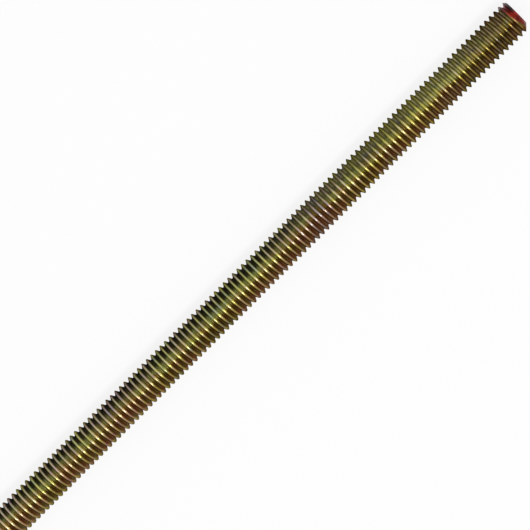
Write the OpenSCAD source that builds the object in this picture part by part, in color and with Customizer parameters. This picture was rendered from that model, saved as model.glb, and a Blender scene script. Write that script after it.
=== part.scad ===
// Fully threaded rod, 3/8 inch with 16 threads to the inch, lying along X.
// The origin is on the rod's axis, half way between its two ends.
// The end at +X is the painted one. All sizes are in millimetres.

/* [Rod] */
// Length from end to end
rod_length = 190.5; // [25:0.5:200]
// Diameter over the crests of the thread
major_d = 9.25; // [8:0.05:12]

/* [Thread] */
// Distance from one crest to the next
pitch = 1.5875; // [1.5:0.0625:2]
// Angle between the two flanks of a groove
flank_angle = 60; // [50:1:70]
// Share of the sharp V's height that is missing at the crest
crest_cut = 0.125; // [0.05:0.005:0.25]
// Share of the sharp V's height that is filled at the root
root_cut = 0.1667; // [0.1:0.005:0.25]
// Angle about the axis at which a crest passes the rod's middle
start_angle = 210; // [0:30:330]
// Flat sides in one turn of the thread
sides = 12; // [8:4:12]

/* [Ends] */
// Diameter of the flat face left inside each chamfer
end_face_d = 6.9; // [4:0.1:7.5]
// Angle between the chamfer and the rod's axis
chamfer_angle = 45; // [30:1:60]
// How far the painted end's chamfer was ground off centre, towards +Y
grind_offset = 0.45; // [0:0.05:0.6]

/* [Hidden] */
plated_steel = [0.62, 0.55, 0.33];
// Thread points closer to an end than this are moved onto it
end_snap = 0.02;
half_length = rod_length / 2;
crest_r = major_d / 2;
v_height = pitch / 2 / tan(flank_angle / 2);
thread_depth = v_height * (1 - crest_cut - root_cut);
// Places of the corners of one thread, as shares of the pitch from a crest's middle
corners = [-crest_cut / 2, crest_cut / 2, (1 - root_cut) / 2, (1 + root_cut) / 2];
// Whole turns from the rod's middle to beyond either end
half_turns = ceil(half_length / pitch) + 1;
steps = 2 * half_turns * len(corners);

// Angle of a column of thread points about the rod
function column_angle(column) = 360 * column / sides;

// Distance along the rod at which a column's point would lie on an endless thread
function free_height(column, step) =
    pitch * (floor(step / len(corners)) + corners[step % len(corners)] + column / sides - half_turns);

// The same distance, held to the rod's own length
function height(column, step) =
    let (free = free_height(column, step))
    free > half_length - end_snap ? half_length
        : free < end_snap - half_length ? -half_length
        : free;

// Depth of the groove at a share of the pitch past a crest's middle
function groove_depth(share) =
    let (from_crest = 2 * abs(share - round(share)))
    min(max(v_height * (from_crest - crest_cut), 0), thread_depth);

// Radius that the chamfers leave, with the painted end's ground off centre
function chamfer_radius(column, along) =
    let (
        off_centre = grind_offset * sin(column_angle(column) + start_angle),
        widening = tan(chamfer_angle),
        painted_r = end_face_d / 2 + off_centre + (half_length - along) * widening,
        plain_r = end_face_d / 2 + (half_length + along) * widening
    )
    min(painted_r, plain_r);

// Corner of the thread's surface, in a column that climbs with the helix
function thread_point(column, step) =
    let (
        along = height(column, step),
        angle = column_angle(column),
        thread_r = crest_r - groove_depth(along / pitch - column / sides),
        r = min(thread_r, chamfer_radius(column, along))
    )
    [r * cos(angle), r * sin(angle), along];

// Lowest and highest step of each column that still differ from their neighbour
first_steps = [
    for (column = [0 : sides - 1])
        max([for (step = [0 : steps - 1]) if (height(column, step) == -half_length) step])
];
last_steps = [
    for (column = [0 : sides - 1])
        min([for (step = [0 : steps - 1]) if (height(column, step) == half_length) step])
];

// Index of a thread point. A full turn round the rod comes back one pitch higher.
function at(column, step) =
    let (
        turn = floor(column / sides),
        wrapped = column - turn * sides,
        climbed = step + turn * len(corners)
    )
    wrapped * steps + min(max(climbed, first_steps[wrapped]), last_steps[wrapped]);

// Right-hand helical thread about Z with its chamfered ends, as one closed surface
module thread() {
    points = [
        for (column = [0 : sides - 1], step = [0 : steps - 1]) thread_point(column, step)
    ];
    patches = [
        for (column = [0 : sides - 1], step = [-len(corners) : steps - 2])
            each [
                [at(column, step), at(column, step + 1), at(column + 1, step + 1)],
                [at(column, step), at(column + 1, step + 1), at(column + 1, step)]
            ]
    ];
    // Patches beyond the ends have shrunk to a line or a point and are left out
    sides_of_rod = [for (t = patches) if (t[0] != t[1] && t[1] != t[2] && t[2] != t[0]) t];
    plain_end = [for (column = [0 : sides - 1]) at(column, 0)];
    painted_end = [for (column = [sides - 1 : -1 : 0]) at(column, steps - 1)];
    polyhedron(
        points = points,
        faces = concat(sides_of_rod, [plain_end, painted_end]),
        convexity = 10
    );
}

module threaded_rod() {
    color(plated_steel)
        rotate([0, 90, 0])
            rotate([0, 0, start_angle])
                thread();
}

threaded_rod();
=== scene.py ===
"""Dresses a packed threaded rod: smooth rolled thread, yellow zinc plating and red paint on one end.

The rod lies along X with its painted end at +X. Everything is in metres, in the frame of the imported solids.
"""

import logging
import math
from dataclasses import dataclass
from enum import Enum
from typing import Any

import bpy
import numpy as np
from mathutils import Matrix, Vector


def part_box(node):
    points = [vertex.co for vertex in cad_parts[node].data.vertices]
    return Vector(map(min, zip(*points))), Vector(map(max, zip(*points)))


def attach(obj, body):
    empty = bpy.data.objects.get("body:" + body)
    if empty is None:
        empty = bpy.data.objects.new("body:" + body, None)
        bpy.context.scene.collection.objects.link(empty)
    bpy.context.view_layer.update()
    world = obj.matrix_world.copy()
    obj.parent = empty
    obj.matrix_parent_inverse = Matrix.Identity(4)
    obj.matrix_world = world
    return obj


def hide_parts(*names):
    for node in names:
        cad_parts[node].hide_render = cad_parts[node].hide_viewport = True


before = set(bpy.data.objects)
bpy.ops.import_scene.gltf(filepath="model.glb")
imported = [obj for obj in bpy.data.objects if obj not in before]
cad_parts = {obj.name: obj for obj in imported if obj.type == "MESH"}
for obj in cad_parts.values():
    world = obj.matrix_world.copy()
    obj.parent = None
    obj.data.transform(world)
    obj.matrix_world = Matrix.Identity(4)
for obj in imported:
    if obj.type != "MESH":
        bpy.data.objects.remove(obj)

LOG = logging.getLogger("threaded_rod")
MM = 0.001
ROD_NODE = "threaded_rod"

# Places of a Mix node's two colours among its inputs, and of the mixed colour among its outputs
MIX_FIRST = 6
MIX_SECOND = 7
MIX_COLOUR = 2

Colour = tuple[float, float, float]
Span = tuple[float, float]
Stops = tuple[tuple[float, Colour], ...]


class End(Enum):
    """Which end of the rod a shape belongs to, as the sign of its X."""

    PAINTED = 1
    PLAIN = -1


class S:
    """A shader socket that adds Math nodes when it is used in Python arithmetic."""

    def __init__(self, tree: bpy.types.NodeTree, socket: bpy.types.NodeSocket) -> None:
        """Wraps one output socket of a node tree."""
        self.tree = tree
        self.socket = socket

    def math(self, operation: str, *others: Any, clamp: bool = False) -> "S":
        """Adds one Math node fed by this socket.

        Args:
            operation: The Math node's operation.
            *others: The node's further inputs, sockets or numbers.
            clamp: Whether the result is held between 0 and 1.

        Returns:
            The node's value.
        """
        node = self.tree.nodes.new("ShaderNodeMath")
        node.operation = operation
        node.use_clamp = clamp
        for index, value in enumerate((self, *others)):
            plug(self.tree, node.inputs[index], value)
        return S(self.tree, node.outputs[0])

    def __add__(self, other: Any) -> "S":
        """This value plus another."""
        return self.math("ADD", other)

    def __radd__(self, other: Any) -> "S":
        """Another value plus this one."""
        return self.math("ADD", other)

    def __sub__(self, other: Any) -> "S":
        """This value less another."""
        return self.math("SUBTRACT", other)

    def __rsub__(self, other: Any) -> "S":
        """A number less this value."""
        return (self * -1.0) + other

    def __mul__(self, other: Any) -> "S":
        """This value times another."""
        return self.math("MULTIPLY", other)

    def __rmul__(self, other: Any) -> "S":
        """Another value times this one."""
        return self.math("MULTIPLY", other)

    def __truediv__(self, other: Any) -> "S":
        """This value divided by another."""
        return self.math("DIVIDE", other)

    def clamped(self) -> "S":
        """This value held between 0 and 1."""
        return self.math("ADD", 0.0, clamp=True)

    def centred(self) -> "S":
        """This value less a half, so that noise swings either way about 0."""
        return self - 0.5

    def ramp(self, low: float, high: float) -> "S":
        """Rises smoothly from 0 to 1 as this value goes from low to high.

        Args:
            low: Where the rise starts.
            high: Where it ends.

        Returns:
            The risen value.
        """
        return Shader(self.tree).node(
            "ShaderNodeMapRange",
            {"interpolation_type": "SMOOTHSTEP"},
            {"Value": self, "From Min": low, "From Max": high},
        )


def plug(tree: bpy.types.NodeTree, target: bpy.types.NodeSocket, value: Any) -> None:
    """Links a wrapped socket to an input, or sets the input to a plain value.

    Args:
        tree: The node tree.
        target: The input.
        value: A wrapped socket, or what the input holds when nothing is linked.
    """
    if isinstance(value, S):
        tree.links.new(value.socket, target)
    else:
        target.default_value = value


@dataclass(frozen=True)
class Noise:
    """Settings of a noise, whose features are about 1/scale metres across.

    Attributes:
        scale: Features to the metre.
        detail: How many finer layers it has.
        roughness: How strong the finer layers are.
    """

    scale: float
    detail: float
    roughness: float


@dataclass(frozen=True)
class Shader:
    """A node tree that is being filled with nodes."""

    tree: bpy.types.NodeTree

    @classmethod
    def material(cls, name: str) -> tuple["Shader", bpy.types.Material]:
        """Starts an empty material.

        Args:
            name: The material's name.

        Returns:
            Its node tree, wrapped, and the material.
        """
        material = bpy.data.materials.new(name)
        material.use_nodes = True
        material.node_tree.nodes.clear()
        return cls(material.node_tree), material

    def add(
        self,
        kind: str,
        settings: dict[str, Any] | None = None,
        inputs: dict[Any, Any] | None = None,
    ) -> bpy.types.Node:
        """Adds a node, sets it up and feeds it.

        Args:
            kind: The node's type, such as ShaderNodeTexNoise.
            settings: The node's own properties. "stops" holds a colour ramp's stops as (place, colour).
            inputs: Values or sockets by input name or index.

        Returns:
            The node.
        """
        node = self.tree.nodes.new(kind)
        for name, value in (settings or {}).items():
            if name == "stops":
                fill_stops(node.color_ramp, value)
            else:
                setattr(node, name, value)
        for name, value in (inputs or {}).items():
            plug(self.tree, node.inputs[name], value)
        return node

    def node(
        self,
        kind: str,
        settings: dict[str, Any] | None = None,
        inputs: dict[Any, Any] | None = None,
        output: Any = 0,
    ) -> S:
        """Adds a node as above and gives back one of its outputs.

        Args:
            kind: The node's type.
            settings: The node's own properties.
            inputs: Values or sockets by input name or index.
            output: The name or index of the output.

        Returns:
            The chosen output.
        """
        return S(self.tree, self.add(kind, settings, inputs).outputs[output])

    def axes(self, vector: S) -> tuple[S, S, S]:
        """The three parts of a vector."""
        x, y, z = self.add("ShaderNodeSeparateXYZ", inputs={"Vector": vector}).outputs
        return S(self.tree, x), S(self.tree, y), S(self.tree, z)

    def mix(self, factor: Any, first: Any, second: Any, blend: str = "MIX") -> S:
        """Mixes two colours with a Mix node.

        Args:
            factor: How much of the second colour is used.
            first: The colour at factor 0.
            second: The colour at factor 1.
            blend: The node's blend type.

        Returns:
            The mixed colour.
        """
        return self.node(
            "ShaderNodeMix",
            {"data_type": "RGBA", "blend_type": blend},
            {"Factor": factor, MIX_FIRST: rgba(first), MIX_SECOND: rgba(second)},
            MIX_COLOUR,
        )

    def ramp(self, value: S, stops: Stops) -> S:
        """The colour that a colour ramp has at a value."""
        return self.node("ShaderNodeValToRGB", {"stops": stops}, {"Fac": value})

    def noise(self, vector: S, noise: Noise) -> S:
        """Smooth noise from 0 to 1.

        Args:
            vector: Where the noise is read.
            noise: Its settings.

        Returns:
            The noise's value.
        """
        return self.node(
            "ShaderNodeTexNoise",
            {"noise_dimensions": "3D"},
            {"Vector": vector, "Scale": noise.scale, "Detail": noise.detail, "Roughness": noise.roughness},
        )

    def surface(self, shader: S) -> None:
        """Makes a shader the material's surface."""
        self.add("ShaderNodeOutputMaterial", inputs={"Surface": shader})


def rgba(colour: Any) -> Any:
    """A three-part colour with full alpha, or the socket as it is."""
    return colour if isinstance(colour, S) else (*colour, 1.0)


def fill_stops(ramp: bpy.types.ColorRamp, stops: Stops) -> None:
    """Gives a colour ramp exactly these stops.

    Args:
        ramp: The colour ramp.
        stops: Its stops as (place, colour), from left to right.
    """
    while len(ramp.elements) > 1:
        ramp.elements.remove(ramp.elements[-1])
    ramp.elements[0].position = stops[0][0]
    ramp.elements[0].color = rgba(stops[0][1])
    for place, colour in stops[1:]:
        ramp.elements.new(place).color = rgba(colour)


@dataclass(frozen=True)
class RolledThread:
    """The rod's thread and ends, as one closed surface."""

    length: float
    crest_radius: float
    pitch: float = 1.5875 * MM
    flank_angle: float = math.radians(60.0)
    crest_cut: float = 0.16
    root_cut: float = 1 / 6
    start_angle: float = math.radians(210.0)
    end_face_radius: float = 3.45 * MM
    chamfer_slope: float = 1.0
    grind_offset: float = 0.45 * MM
    corner_ease: float = 0.055 * MM
    columns: int = 60
    points_per_pitch: int = 13
    crowding: float = 0.55
    end_snap: float = 0.02 * MM
    sharp_angle: float = math.radians(40.0)

    @property
    def v_height(self) -> float:
        """Height of the sharp V that the flanks would make."""
        return self.pitch / 2 / math.tan(self.flank_angle / 2)

    @property
    def depth(self) -> float:
        """Depth of the groove below the crests."""
        return self.v_height * (1 - self.crest_cut - self.root_cut)

    @property
    def half_turns(self) -> int:
        """Whole turns from the rod's middle to beyond either end."""
        return math.ceil(self.length / 2 / self.pitch) + 1

    def groove_depth(self, phase: np.ndarray) -> np.ndarray:
        """Depth below the crests at a share of the pitch past a crest's middle.

        The depth is that of the sharp V less what is cut off its crest, and runs between 0 and the
        groove's full depth. Both corners are eased by the difference of two soft ramps, each
        ease * log(1 + exp(x / ease)).

        Args:
            phase: Places along the rod in pitches, 0 at the middle of a crest.

        Returns:
            The depth at each place, in metres.
        """
        from_crest = np.abs((phase + 0.5) % 1.0 - 0.5) * 2
        sharp = self.v_height * (from_crest - self.crest_cut)
        ease = self.corner_ease
        return ease * (np.logaddexp(0, sharp / ease) - np.logaddexp(0, (sharp - self.depth) / ease))

    def chamfer_radius(self, x: np.ndarray, angle: np.ndarray) -> np.ndarray:
        """Radius that the two chamfers allow at each place.

        Each is a cone that starts at the end's flat face and widens inwards. The painted end's cone
        stands off the axis by the grind offset towards +Y, so from the axis its radius is longer by
        about the offset times the sine of the angle.

        Args:
            x: Places along the rod.
            angle: Angles about the rod, 0 towards -Z and a quarter turn towards +Y.

        Returns:
            The largest radius allowed at each place.
        """
        from_painted = self.length / 2 * End.PAINTED.value - x
        from_plain = x - self.length / 2 * End.PLAIN.value
        ground_off = self.grind_offset * np.sin(angle)
        painted = self.end_face_radius + from_painted * self.chamfer_slope + ground_off
        plain = self.end_face_radius + from_plain * self.chamfer_slope
        return np.minimum(painted, plain)

    def grid(self) -> tuple[np.ndarray, np.ndarray]:
        """Works out the surface's points on a grid that follows the helix.

        Column c stands at angle c / columns of a turn, and its points climb the rod a pitch in each
        points_per_pitch steps, started c / columns of a pitch higher. Steps crowd at the crests and
        roots by subtracting a sine of twice the pitch's frequency. Points past an end, or nearer
        to it than the snap distance, lie on it.

        Returns:
            The points as (column, step, xyz), and x alone.
        """
        column = np.arange(self.columns)[:, None] / self.columns
        step = np.arange(2 * self.half_turns * self.points_per_pitch)[None, :] / self.points_per_pitch
        crowded = step - self.crowding / (4 * math.pi) * np.sin(4 * math.pi * step)
        x = self.pitch * (column + crowded - self.half_turns)
        x = np.where(x > self.length / 2 - self.end_snap, self.length / 2, x)
        x = np.where(x < self.end_snap - self.length / 2, -self.length / 2, x)
        phase = x / self.pitch - column
        angle = 2 * math.pi * column + self.start_angle + 0 * x
        radius = np.minimum(self.crest_radius - self.groove_depth(phase), self.chamfer_radius(x, angle))
        y = radius * np.sin(angle)
        z = -radius * np.cos(angle)
        return np.stack([x, y, z], axis=-1), x

    def faces(self, x: np.ndarray) -> np.ndarray:
        """Joins the grid's points into triangles and closes both ends.

        Every point past an end is one with its column's last point there, so patches beyond the ends
        shrink to nothing and are left out. The last column meets the first one a pitch higher.

        Args:
            x: Each point's place along the rod.

        Returns:
            Triangles of point indices. The two after the grid's own are the ends' middle points.
        """
        columns, steps = x.shape
        first = (x <= -self.length / 2).sum(axis=1)[:, None] - 1
        last = steps - (x >= self.length / 2).sum(axis=1)[:, None]
        index = np.clip(np.arange(steps)[None, :], first, last) + np.arange(columns)[:, None] * steps
        wrapped = np.roll(index, -1, axis=0)
        pitch_up = np.minimum(np.arange(steps) + self.points_per_pitch, steps - 1)
        wrapped[-1] = index[0][pitch_up]
        low_left, low_right = index[:, :-1], wrapped[:, :-1]
        high_left, high_right = index[:, 1:], wrapped[:, 1:]
        lower = np.stack([low_left, high_left, high_right], axis=-1)
        upper = np.stack([low_left, high_right, low_right], axis=-1)
        sides = np.concatenate([lower.reshape(-1, 3), upper.reshape(-1, 3)])
        plain_middle = columns * steps
        plain_rim, painted_rim = index[:, 0], index[:, -1]
        plain = np.stack(
            [np.full(columns, plain_middle), plain_rim, np.roll(plain_rim, -1)], axis=-1
        )
        painted = np.stack(
            [np.full(columns, plain_middle + 1), np.roll(painted_rim, -1), painted_rim], axis=-1
        )
        triangles = np.concatenate([sides, plain, painted])
        whole = (
            (triangles[:, 0] != triangles[:, 1])
            & (triangles[:, 1] != triangles[:, 2])
            & (triangles[:, 2] != triangles[:, 0])
        )
        return triangles[whole]

    def mesh(self, name: str) -> bpy.types.Mesh:
        """Builds the mesh, without the points that no triangle uses.

        Args:
            name: The mesh's name.

        Returns:
            The mesh, shaded smooth but for edges sharper than the sharp angle.
        """
        points, x = self.grid()
        triangles = self.faces(x)
        middles = np.array([[-self.length / 2, 0, 0], [self.length / 2, 0, 0]])
        points = np.concatenate([points.reshape(-1, 3), middles])
        used, renumbered = np.unique(triangles, return_inverse=True)
        mesh = bpy.data.meshes.new(name)
        mesh.from_pydata(points[used], [], renumbered.reshape(-1, 3))
        mesh.polygons.foreach_set("use_smooth", np.ones(len(triangles), bool))
        mesh.set_sharp_from_angle(angle=self.sharp_angle)
        mesh.validate()
        return mesh


@dataclass(frozen=True)
class Spot:
    """Shader values that say where on the rod a point lies.

    Attributes:
        place: The object coordinates.
        x: Distance along the rod from its middle, towards the painted end.
        radius: Distance from the rod's axis.
        groove: Depth in the groove, 0 at the crests and 1 at the roots.
        side: Share of the crest radius towards +Y.
        across: The side as a place on a colour ramp, low towards +Y and high towards -Y.
        drift: Slow noise, with features about ten turns of the thread long.
        patch: Noise with patches one or two turns long.
    """

    place: S
    x: S
    radius: S
    groove: S
    side: S
    across: S
    drift: S
    patch: S


@dataclass(frozen=True)
class YellowZinc:
    """Yellow passivated zinc plating on steel, with a red painted rim at one end, and painted shade and
    reflection round the rod.
    """

    half_length: float
    crest_radius: float
    depth: float
    end_face_radius: float
    name: str = "yellow_zinc_plating"

    # The two noises that several colours share
    drift: Noise = Noise(60.0, 2.0, 0.6)
    patch: Noise = Noise(420.0, 2.0, 0.6)

    # The side as a place on a colour ramp, and how far the slow noise moves it
    side_middle: float = 0.5
    side_spread: float = 0.42
    drift_spread: float = 0.22

    # Tints of the crests along the rod with one golden stretch, and the painted shade on them round the rod
    patch_share: float = 0.9
    golden_at: float = 58.0 * MM
    golden_reach: float = 26.0 * MM
    golden_hue: float = 0.44
    golden_share: float = 0.85
    crest_tints: Stops = (
        (0.22, (0.54, 0.56, 0.46)),
        (0.34, (0.56, 0.62, 0.30)),
        (0.43, (0.80, 0.73, 0.20)),
        (0.51, (0.73, 0.68, 0.48)),
        (0.59, (0.74, 0.61, 0.31)),
        (0.66, (0.73, 0.55, 0.45)),
        (0.78, (0.56, 0.50, 0.49)),
    )
    crest_painted_shade: Stops = (
        (0.08, (0.64, 0.63, 0.60)),
        (0.17, (0.42, 0.42, 0.45)),
        (0.30, (0.68, 0.69, 0.74)),
        (0.42, (1.00, 1.00, 1.00)),
        (0.50, (0.98, 0.97, 0.96)),
        (0.58, (0.91, 0.88, 0.82)),
        (0.67, (0.65, 0.51, 0.42)),
        (0.80, (0.44, 0.34, 0.28)),
        (0.92, (0.62, 0.56, 0.48)),
    )

    # Crests worn duller here and there, by a noise shortened along the rod and drawn out round it
    worn: Noise = Noise(420.0, 1.0, 0.5)
    worn_along: float = 2.0
    worn_round: float = 0.4
    worn_reach: Span = (0.36, 0.58)
    worn_crest: Colour = (0.78, 0.78, 0.78)

    # Tints of the grooves round the rod with painted shade and reflection in them, those of their warm
    # patches, and painted shade in the roots
    groove_tints_and_painted_shade: Stops = (
        (0.07, (0.300, 0.260, 0.110)),
        (0.13, (0.150, 0.130, 0.060)),
        (0.19, (0.036, 0.034, 0.024)),
        (0.24, (0.055, 0.050, 0.022)),
        (0.32, (0.100, 0.095, 0.032)),
        (0.40, (0.440, 0.460, 0.180)),
        (0.52, (0.350, 0.320, 0.095)),
        (0.58, (0.130, 0.082, 0.004)),
        (0.66, (0.145, 0.076, 0.010)),
        (0.78, (0.260, 0.185, 0.058)),
        (0.90, (0.360, 0.290, 0.180)),
    )
    groove_warm_tints_and_shade: Stops = (
        (0.07, (0.320, 0.240, 0.100)),
        (0.13, (0.160, 0.120, 0.055)),
        (0.19, (0.036, 0.032, 0.024)),
        (0.24, (0.036, 0.032, 0.018)),
        (0.32, (0.100, 0.080, 0.030)),
        (0.40, (0.340, 0.290, 0.095)),
        (0.52, (0.340, 0.220, 0.045)),
        (0.58, (0.150, 0.066, 0.004)),
        (0.66, (0.165, 0.055, 0.012)),
        (0.78, (0.310, 0.130, 0.042)),
        (0.90, (0.420, 0.260, 0.160)),
    )
    warm_drift: float = 0.6
    warm_reach: Span = (0.44, 0.60)
    groove_blend: Span = (0.08, 0.85)
    root_reach: Span = (0.70, 0.95)
    root_shade: float = 0.45
    root_shade_colour: Colour = (0.01, 0.01, 0.008)

    # The duller stretch towards the painted end, on the +Y side
    dulled_from: float = 6.0 * MM
    dulled_to: float = 40.0 * MM
    dulled_drift: float = 40.0 * MM
    dulled_side: Span = (0.26, 0.42)
    dulled_share: float = 0.9
    dulled: Stops = (
        (0.30, (0.380, 0.390, 0.230)),
        (0.50, (0.520, 0.480, 0.210)),
        (0.66, (0.420, 0.410, 0.340)),
    )
    dulled_crest: Colour = (0.55, 0.55, 0.48)

    # The used stretch near the painted end, with painted highlights along the roots of its +Y side, warm
    # grooves on the other
    used_from: float = 54.0 * MM
    used_to: float = 70.0 * MM
    used_drift: float = 8.0 * MM
    used_crest: Colour = (0.72, 0.68, 0.64)
    root_highlight_side: Span = (0.46, 0.56)
    root_highlight_reach: Span = (0.84, 0.98)
    root_highlight_share: float = 0.32
    root_highlight_colour: Colour = (0.62, 0.58, 0.40)
    lower_side: Span = (0.58, 0.76)
    lower_share: float = 0.28
    lower_groove: Colour = (0.40, 0.29, 0.18)

    # The browned last stretch, which mostly spares the -Y side
    browned_from: float = 66.0 * MM
    browned_drift: float = 16.0 * MM
    browned_spared: float = 0.75
    browning: Colour = (0.66, 0.54, 0.46)

    # The plain end's face and chamfer
    ground_tints: Stops = (
        (0.30, (0.34, 0.33, 0.21)),
        (0.50, (0.44, 0.40, 0.21)),
        (0.70, (0.40, 0.33, 0.23)),
    )
    chamfer_blend: Span = (-0.04 * MM, -0.01 * MM)
    face_blend: Span = (0.0, 0.02 * MM)

    # The paint, which reaches further towards +Y and darkens towards both sides as painted shade, and its
    # dark rim of painted shade on the chamfer's +Y side
    paint_edge: Noise = Noise(700.0, 2.0, 0.5)
    paint_layer: Noise = Noise(500.0, 2.0, 0.5)
    paint_reach: float = 1.50 * MM
    paint_lean: float = 1.10 * MM
    paint_ragged: float = 1.0 * MM
    paint_fade: float = 0.12 * MM
    paint_lift: float = 0.06
    paint_side_shade: float = 0.24
    paint_reds: Stops = (
        (0.24, (0.035, 0.005, 0.005)),
        (0.42, (0.100, 0.009, 0.007)),
        (0.62, (0.250, 0.020, 0.010)),
    )
    rim_shade_colour: Colour = (0.008, 0.004, 0.004)
    rim_width: float = 0.85 * MM
    rim_solid: float = 0.6
    rim_edge: float = 0.05 * MM
    rim_ragged: float = 0.5
    rim_side: Span = (0.12, 0.46)

    # Gloss and fine relief, with rolling streaks that run round the rod
    grain: Noise = Noise(900.0, 3.0, 0.6)
    streak: Noise = Noise(300.0, 2.0, 0.6)
    edge_tint: Colour = (0.10, 0.09, 0.08)
    ring_squeeze: float = 18.0
    polish: float = 0.15
    grain_roughness: float = 0.12
    streak_roughness: float = 0.10
    groove_roughness: float = 0.28
    paint_roughness: float = 0.36
    bump_strength: float = 0.35
    bump_distance: float = 0.02 * MM

    def spot(self, shader: Shader) -> Spot:
        """Works out where on the rod a point lies.

        Args:
            shader: The tree that is being filled.

        Returns:
            The values that describe its place.
        """
        place = shader.node("ShaderNodeTexCoord", output="Object")
        x, y, z = shader.axes(place)
        radius = (y * y + z * z).math("SQRT")
        side = y / self.crest_radius
        return Spot(
            place=place,
            x=x,
            radius=radius,
            groove=((self.crest_radius - radius) / self.depth).clamped(),
            side=side,
            across=self.side_middle - side * self.side_spread,
            drift=shader.noise(place, self.drift),
            patch=shader.noise(place, self.patch),
        )

    def squeezed(self, shader: Shader, spot: Spot, along: float, across: float) -> S:
        """Object coordinates multiplied so that a noise's features shrink by these factors.

        Args:
            shader: The tree that is being filled.
            spot: Where on the rod the point lies.
            along: The factor along the rod.
            across: The factor across it.

        Returns:
            The multiplied coordinates.
        """
        x, y, z = shader.axes(spot.place)
        parts = {"X": x * along, "Y": y * across, "Z": z * across}
        return shader.node("ShaderNodeCombineXYZ", inputs=parts)

    def hue(self, spot: Spot) -> S:
        """Place on the crests' ramp of tints, which drifts along the rod and nears gold in one stretch.

        Args:
            spot: Where on the rod the point lies.

        Returns:
            The place on the ramp.
        """
        hue = spot.drift + spot.patch.centred() * self.patch_share
        golden = 1.0 - (spot.x - self.golden_at).math("ABSOLUTE").ramp(0.0, self.golden_reach)
        return hue + (self.golden_hue - hue) * golden * self.golden_share

    def plating(self, shader: Shader, spot: Spot) -> S:
        """Colour of the plating, with painted shade and reflection round the rod and painted highlights along
        some roots.

        Args:
            shader: The tree that is being filled.
            spot: Where on the rod the point lies.

        Returns:
            The colour of crests, grooves and the plain end.
        """
        drifting = spot.drift.centred()
        wandering = spot.across + drifting * self.drift_spread
        dull = (spot.x + drifting * self.dulled_drift).ramp(self.dulled_from, self.dulled_to)
        dull = dull * (1.0 - wandering.ramp(*self.dulled_side)) * self.dulled_share
        used = (spot.x + drifting * self.used_drift).ramp(self.used_from, self.used_to)
        root_highlit = used * (1.0 - spot.across.ramp(*self.root_highlight_side))
        lower = spot.across.ramp(*self.lower_side)
        hue = self.hue(spot)

        # Painted shade round the rod on the crests, darkest towards +Y and -Y, brightest on top
        crest_shading = shader.ramp(spot.across, self.crest_painted_shade)
        crest = shader.mix(1.0, shader.ramp(hue, self.crest_tints), crest_shading, "MULTIPLY")
        crest = shader.mix(dull, crest, self.dulled_crest, "MULTIPLY")
        turns = self.squeezed(shader, spot, self.worn_along, self.worn_round)
        worn = shader.noise(turns, self.worn).ramp(*self.worn_reach)
        crest = shader.mix(worn, crest, self.worn_crest, "MULTIPLY")
        crest = shader.mix(used - root_highlit, crest, self.used_crest, "MULTIPLY")

        # The grooves' tints hold the plating's own olive and brown, plus painted shade and reflection round
        # the rod: near black towards +Y, a lit olive band on top
        warm = (spot.patch + drifting * self.warm_drift).ramp(*self.warm_reach)
        plain_tint_and_shade = shader.ramp(wandering, self.groove_tints_and_painted_shade)
        groove = shader.mix(warm, plain_tint_and_shade, shader.ramp(wandering, self.groove_warm_tints_and_shade))
        groove = shader.mix(dull, groove, shader.ramp(spot.patch, self.dulled))
        # Painted shade in the roots, left out where the painted root highlights lie
        root = spot.groove.ramp(*self.root_reach) * self.root_shade * (1.0 - root_highlit)
        groove = shader.mix(root, groove, self.root_shade_colour)
        # Painted highlight along the roots on the used stretch's +Y side
        root_highlight = spot.groove.ramp(*self.root_highlight_reach) * root_highlit * self.root_highlight_share
        groove = shader.mix(root_highlight, groove, self.root_highlight_colour)
        groove = shader.mix(used * lower * self.lower_share, groove, self.lower_groove)

        colour = shader.mix(spot.groove.ramp(*self.groove_blend), crest, groove)
        colour = shader.mix(self.ground(spot), colour, shader.ramp(hue, self.ground_tints))
        browned = (spot.x + drifting * self.browned_drift).ramp(self.browned_from, self.half_length)
        return shader.mix(browned * (1.0 - lower * self.browned_spared), colour, self.browning, "MULTIPLY")

    def ground(self, spot: Spot) -> S:
        """Picks out the plain end's face and chamfer.

        Args:
            spot: Where on the rod the point lies.

        Returns:
            1 on them and 0 elsewhere.
        """
        from_plain = self.half_length + spot.x
        chamfered = (spot.radius - from_plain - self.end_face_radius).ramp(*self.chamfer_blend)
        return chamfered.math("MAXIMUM", 1.0 - from_plain.ramp(*self.face_blend))

    def paint(self, shader: Shader, spot: Spot) -> tuple[S, S]:
        """Paint on the end at +X, reaching further towards +Y, darker towards both sides as painted shade,
        with a dark rim of painted shade on the chamfer.

        Args:
            shader: The tree that is being filled.
            spot: Where on the rod the point lies.

        Returns:
            How much paint covers the plating, from 0 to 1, and its colour.
        """
        from_end = self.half_length - spot.x
        ragged = shader.noise(spot.place, self.paint_edge).centred()
        reach = self.paint_reach + spot.side * self.paint_lean + ragged * self.paint_ragged
        cover = 1.0 - (from_end - reach).ramp(-self.paint_fade, self.paint_fade)
        tone_and_side_shade = shader.noise(spot.place, self.paint_layer) + self.paint_lift
        # Paint darker towards both sides round the rod: painted shade
        tone_and_side_shade = tone_and_side_shade - spot.side.math("ABSOLUTE") * self.paint_side_shade
        # Dark rim of painted shade on the chamfer, on its +Y side only
        rim_reach = from_end + ragged * self.rim_width
        rim_shading = 1.0 - rim_reach.ramp(self.rim_width * self.rim_solid, self.rim_width)
        rim_shading = rim_shading * from_end.ramp(0.0, self.rim_edge)
        rim_shading = rim_shading * (spot.side + ragged * self.rim_ragged).ramp(*self.rim_side)
        return cover, shader.mix(rim_shading, shader.ramp(tone_and_side_shade, self.paint_reds), self.rim_shade_colour)

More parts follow.
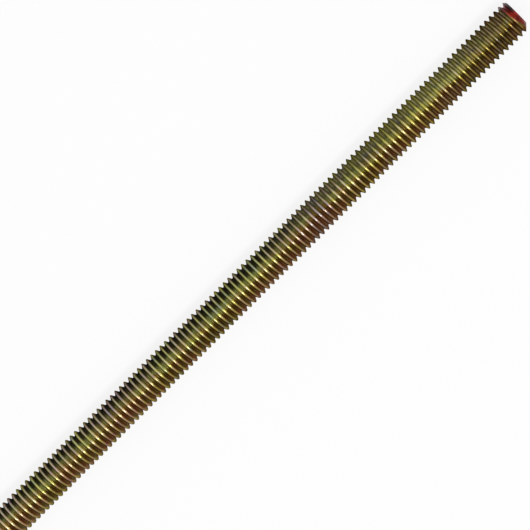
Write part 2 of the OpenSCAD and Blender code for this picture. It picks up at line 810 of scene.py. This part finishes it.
    def build(self) -> bpy.types.Material:
        """Makes the material.

        Returns:
            The finished material.
        """
        shader, material = Shader.material(self.name)
        spot = self.spot(shader)
        cover, paint = self.paint(shader, spot)
        grain = shader.noise(spot.place, self.grain)
        streak = shader.noise(self.squeezed(shader, spot, self.ring_squeeze, 1.0), self.streak)
        bare = self.polish + grain * self.grain_roughness + streak * self.streak_roughness
        bare = bare + spot.groove * self.groove_roughness
        roughness = shader.node(
            "ShaderNodeMix",
            {"data_type": "FLOAT"},
            {"Factor": cover, "A": bare, "B": self.paint_roughness},
        )
        bump = shader.node(
            "ShaderNodeBump",
            inputs={
                "Strength": self.bump_strength,
                "Distance": self.bump_distance,
                "Height": (grain + streak) / 2,
            },
        )
        metal = shader.node(
            "ShaderNodeBsdfPrincipled",
            inputs={
                "Base Color": shader.mix(cover, self.plating(shader, spot), paint),
                "Metallic": 1.0 - cover,
                "Roughness": roughness,
                "Specular Tint": rgba(self.edge_tint),
                "Normal": bump,
            },
        )
        shader.surface(metal)
        return material


@dataclass(frozen=True)
class Studio:
    """The floor, lamp, world and camera."""

    floor_z: float
    rod_end: float

    # Where the camera and the lamp aim, from the painted end and towards +Y
    aim_from_end: float = 86.97 * MM
    aim_across: float = 0.32 * MM

    # Camera. The frame's width is measured at the target.
    frame_width: float = 130.39 * MM
    distance: float = 0.700
    tilt: float = math.radians(4.78)
    roll: float = math.radians(45.0)
    sensor: float = 36.0
    far_clip: float = 50.0

    # Lamp, a long softbox above the camera. Its place is measured from the target.
    lamp_place: tuple[float, float, float] = (0.0, -0.46, 1.30)
    lamp_length: float = 2.4
    lamp_width: float = 0.22
    lamp_watts: float = 15.0

    # Floor. The share is how much of plain white the camera and reflections see.
    floor_half: float = 3.0
    floor_colour: Colour = (0.92, 0.92, 0.92)
    floor_roughness: float = 0.9
    floor_white: Colour = (0.96, 0.96, 0.96)
    white_share: float = 0.87

    # World. Heights are those of the direction looked in, from 0 at the horizon to 1 overhead.
    horizon_light: Colour = (0.95, 0.95, 0.95)
    overhead_light: Colour = (0.70, 0.70, 0.70)
    dimming_heights: Span = (0.15, 0.6)

    @property
    def target(self) -> Vector:
        """Point beside the rod's axis that the camera and the lamp aim at."""
        return Vector((self.rod_end - self.aim_from_end, self.aim_across, 0.0))

    def camera(self) -> None:
        """Sets the camera over the rod, leaning to its painted end and rolled to the photo's diagonal."""
        data = bpy.data.cameras.new("camera")
        data.sensor_width = self.sensor
        data.lens = self.sensor * self.distance / self.frame_width
        data.clip_end = self.far_clip
        back = Vector((math.sin(self.tilt), 0.0, math.cos(self.tilt)))
        along = Vector((math.cos(self.tilt), 0.0, -math.sin(self.tilt)))
        across = Vector((0.0, 1.0, 0.0))
        right = along * math.cos(self.roll) - across * math.sin(self.roll)
        up = along * math.sin(self.roll) + across * math.cos(self.roll)
        camera = bpy.data.objects.new("camera", data)
        rotation = Matrix((right, up, back)).transposed().to_4x4()
        camera.matrix_world = Matrix.Translation(self.target + back * self.distance) @ rotation
        bpy.context.scene.collection.objects.link(camera)
        bpy.context.scene.camera = camera

    def lamp(self) -> None:
        """Hangs the softbox, which runs along the rod and faces the target."""
        data = bpy.data.lights.new("strip", "AREA")
        data.shape = "RECTANGLE"
        data.size = self.lamp_length
        data.size_y = self.lamp_width
        data.energy = self.lamp_watts
        place = Vector(self.lamp_place)
        lamp = bpy.data.objects.new("strip", data)
        lamp.location = self.target + place
        lamp.rotation_euler = (-place).to_track_quat("-Z", "Y").to_euler()
        bpy.context.scene.collection.objects.link(lamp)

    def floor(self) -> None:
        """Lays the plain pale floor, which looks almost white but keeps the rod's shadow."""
        half = self.floor_half
        corners = [(-half, -half), (half, -half), (half, half), (-half, half)]
        mesh = bpy.data.meshes.new("floor")
        mesh.from_pydata([(x, y, self.floor_z) for x, y in corners], [], [(0, 1, 2, 3)])
        shader, material = Shader.material("pale_floor")
        lit = shader.node(
            "ShaderNodeBsdfPrincipled",
            inputs={"Base Color": rgba(self.floor_colour), "Roughness": self.floor_roughness},
        )
        white = shader.node("ShaderNodeEmission", inputs={"Color": rgba(self.floor_white), "Strength": 1.0})
        rays = shader.add("ShaderNodeLightPath").outputs
        camera, glossy, transmission = (
            S(shader.tree, rays[name]) for name in ("Is Camera Ray", "Is Glossy Ray", "Is Transmission Ray")
        )
        share = (camera + glossy + transmission).clamped() * self.white_share
        shader.surface(shader.node("ShaderNodeMixShader", inputs={0: share, 1: lit, 2: white}))
        mesh.materials.append(material)
        floor = bpy.data.objects.new("floor", mesh)
        bpy.context.scene.collection.objects.link(floor)

    def world(self) -> None:
        """Fills the room with plain light, pale near the horizon and dimmer overhead."""
        world = bpy.data.worlds.new("studio")
        world.use_nodes = True
        world.node_tree.nodes.clear()
        shader = Shader(world.node_tree)
        direction = shader.node("ShaderNodeTexCoord", output="Generated")
        height = shader.axes(direction)[2]
        colour = shader.mix(height.ramp(*self.dimming_heights), self.horizon_light, self.overhead_light)
        light = shader.node("ShaderNodeBackground", inputs={"Color": colour, "Strength": 1.0})
        shader.add("ShaderNodeOutputWorld", inputs={"Surface": light})
        bpy.context.scene.world = world

    def build(self) -> None:
        """Sets up the whole studio."""
        self.camera()
        self.lamp()
        self.floor()
        self.world()
        bpy.context.scene.view_settings.view_transform = "Standard"


@dataclass(frozen=True)
class ThreadedRod:
    """The rod with its finish."""

    thread: RolledThread
    finish: YellowZinc

    def build(self) -> bpy.types.Object:
        """Makes the rod, dresses it and lets it stand for its solid.

        Returns:
            The rod's object.
        """
        mesh = self.thread.mesh("rolled_rod")
        mesh.materials.append(self.finish.build())
        rod = bpy.data.objects.new("rolled_rod", mesh)
        bpy.context.scene.collection.objects.link(rod)
        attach(rod, "root")
        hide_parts(ROD_NODE)
        LOG.info("%s: %d triangles", rod.name, len(mesh.polygons))
        return rod


def main() -> None:
    """Builds the rod and its studio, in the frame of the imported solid."""
    logging.basicConfig(level=logging.INFO)
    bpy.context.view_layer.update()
    low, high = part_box(ROD_NODE)
    length = high.x - low.x
    crest_radius = (high.z - low.z) / 2
    Studio(floor_z=low.z, rod_end=high.x).build()
    thread = RolledThread(length=length, crest_radius=crest_radius)
    finish = YellowZinc(
        half_length=length / 2,
        crest_radius=crest_radius,
        depth=thread.depth,
        end_face_radius=thread.end_face_radius,
    )
    ThreadedRod(thread, finish).build()


if __name__ == "__main__":
    main()
